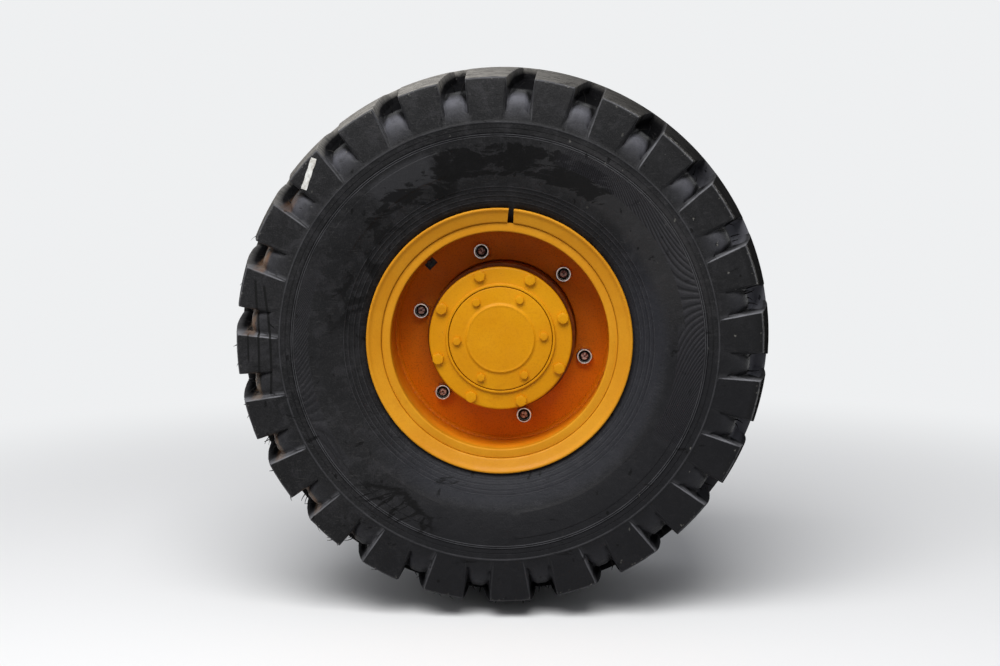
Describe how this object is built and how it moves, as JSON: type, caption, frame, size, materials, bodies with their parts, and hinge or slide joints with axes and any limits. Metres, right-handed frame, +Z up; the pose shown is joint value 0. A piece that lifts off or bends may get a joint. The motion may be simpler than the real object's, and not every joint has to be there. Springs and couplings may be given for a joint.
{
  "type": "wheel and axle end of a compact wheel loader",
  "caption": "Lug-tread loader wheel on its planetary hub and short flanged axle end; the wheel turns freely with its half shaft.",
  "frame": {"origin": "centre of the outer face of the axle end's bolt flange, on the wheel axis", "axes": "+Y from the wheel toward the middle of the axle, along the wheel axis; -X forward; +Z up"},
  "size_m": [0.9559, 0.572, 0.9558],
  "materials": {
    "tyre_rubber": "matt, dusty",
    "rim_paint": "satin paint",
    "disc_paint": "satin paint",
    "hub_paint": "satin paint",
    "zinc": "zinc plated",
    "cast_iron": "rough casting",
    "axle_paint": "satin paint",
    "bare_steel": "machined"
  },
  "bodies": {
    "axle_end": {"axle_arm": "axle_paint", "spindle": "bare_steel", "backing_plate": "axle_paint"},
    "wheel": {"tyre": "tyre_rubber", "side_ring": "rim_paint", "rim_base": "rim_paint", "wheel_disc": "disc_paint", "wheel_nuts": "zinc", "hub_shell": "hub_paint", "hub_cover": "hub_paint", "cover_bolts": "hub_paint", "hub_cap": "hub_paint", "cap_bolts": "hub_paint", "brake_drum": "cast_iron"},
    "drive_shaft": {"half_shaft": "bare_steel"}
  },
  "joints": [
    {"name": "wheel_spin", "type": "hinge", "parent": "axle_end", "child": "wheel", "pos_m": [0, -0.275, 0], "axis": [0, -1, 0], "continuous": true},
    {"name": "shaft_spin", "type": "hinge", "parent": "axle_end", "child": "drive_shaft", "pos_m": [0, 0, 0], "axis": [0, -1, 0], "continuous": true}
  ],
  "couplings": [
    {"joint": "shaft_spin", "follows": "wheel_spin", "ratio": 4.5}
  ]
}
